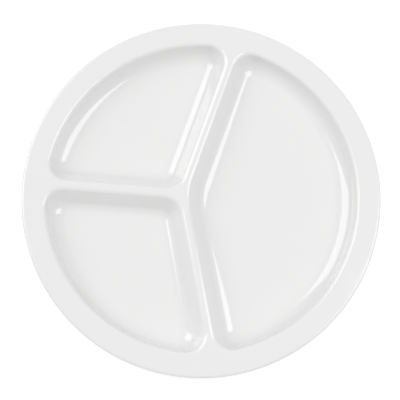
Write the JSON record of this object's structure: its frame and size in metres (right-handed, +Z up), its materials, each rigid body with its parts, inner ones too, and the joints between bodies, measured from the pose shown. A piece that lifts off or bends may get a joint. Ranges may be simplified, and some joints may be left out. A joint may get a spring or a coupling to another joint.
{
  "type": "divided compartment plate",
  "caption": "Round glossy white serving plate: a flat rim with a rounded edge, and sunken wells, large and small, kept apart by low dividers that meet in a Y.",
  "frame": {"origin": "middle of the plate, at the bottom of its foot ridges", "axes": "+Z up out of the wells, +X towards the large well, +Y towards the upper small well"},
  "size_m": [0.26, 0.26, 0.018],
  "materials": {
    "melamine": "smooth gloss, moulded"
  },
  "bodies": {
    "root": {"rim": "melamine", "edge_lip": "melamine", "large_wall": "melamine", "upper_wall": "melamine", "lower_wall": "melamine", "large_floor": "melamine", "upper_floor": "melamine", "lower_floor": "melamine", "divider_upper": "melamine", "divider_lower": "melamine", "divider_short": "melamine", "hub": "melamine", "large_foot": "melamine", "upper_foot": "melamine", "lower_foot": "melamine"}
  },
  "joints": []
}
